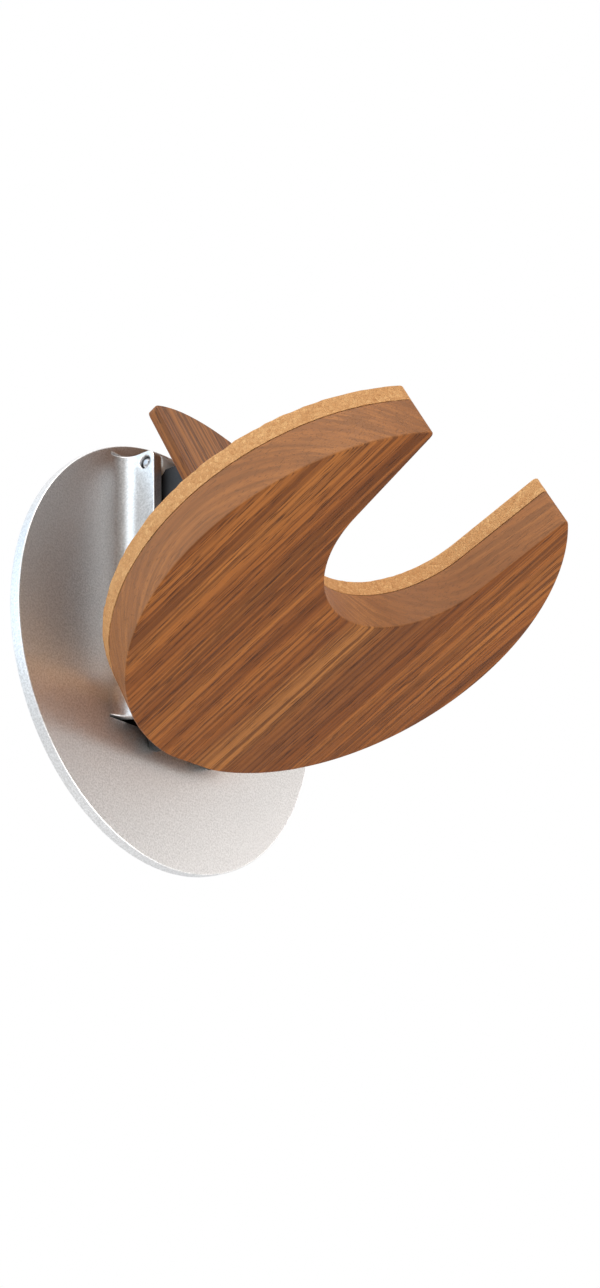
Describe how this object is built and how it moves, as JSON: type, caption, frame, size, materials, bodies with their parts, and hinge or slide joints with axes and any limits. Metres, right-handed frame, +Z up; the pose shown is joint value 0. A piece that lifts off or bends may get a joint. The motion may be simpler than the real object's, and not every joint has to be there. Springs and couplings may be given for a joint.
{
  "type": "wall guitar hanger",
  "caption": "Wall hanger for a guitar: a round metal face plate with folded ears, and a cork-faced wooden fork with an upright back rest that tilts on a cross pin.",
  "frame": {"origin": "centre of the wall plate's back face, on the wall", "axes": "+Z up, +Y into the wall, the fork reaches out along -Y"},
  "size_m": [0.112, 0.131, 0.1189],
  "materials": {
    "satin_aluminium": "fine bead-blasted satin",
    "black_metal": "matt black paint",
    "pin_steel": "ground",
    "zinc": "zinc plated",
    "nylon": "plain moulded",
    "walnut": "open-grain walnut with satin oil",
    "birch": "turned, unfinished",
    "cork": "granular agglomerated cork, matt",
    "black_plastic": "fine moulded texture",
    "rubber": "matt"
  },
  "bodies": {
    "wall_unit": {"wall_plate": "black_metal", "wall_screw_1": "zinc", "wall_screw_2": "zinc", "plate_screw_1": "zinc", "plate_screw_2": "zinc", "plate_screw_3": "zinc", "face_plate": "satin_aluminium", "pivot_pin": "pin_steel", "spacer_left": "nylon", "spacer_right": "nylon"},
    "yoke": {"fork_board": "walnut", "fork_cork": "cork", "back_rest": "walnut", "dowel_left": "birch", "dowel_right": "birch", "carrier": "black_plastic", "rest_screw_left": "zinc", "rest_screw_right": "zinc", "fork_screw_left": "zinc", "fork_screw_right": "zinc", "bumper_left": "rubber", "bumper_right": "rubber"}
  },
  "joints": [
    {"name": "yoke_tilt", "type": "hinge", "parent": "wall_unit", "child": "yoke", "pos_m": [0, -0.0128, 0.0443], "axis": [-1, 0, 0], "range_deg": [0, 18]}
  ]
}
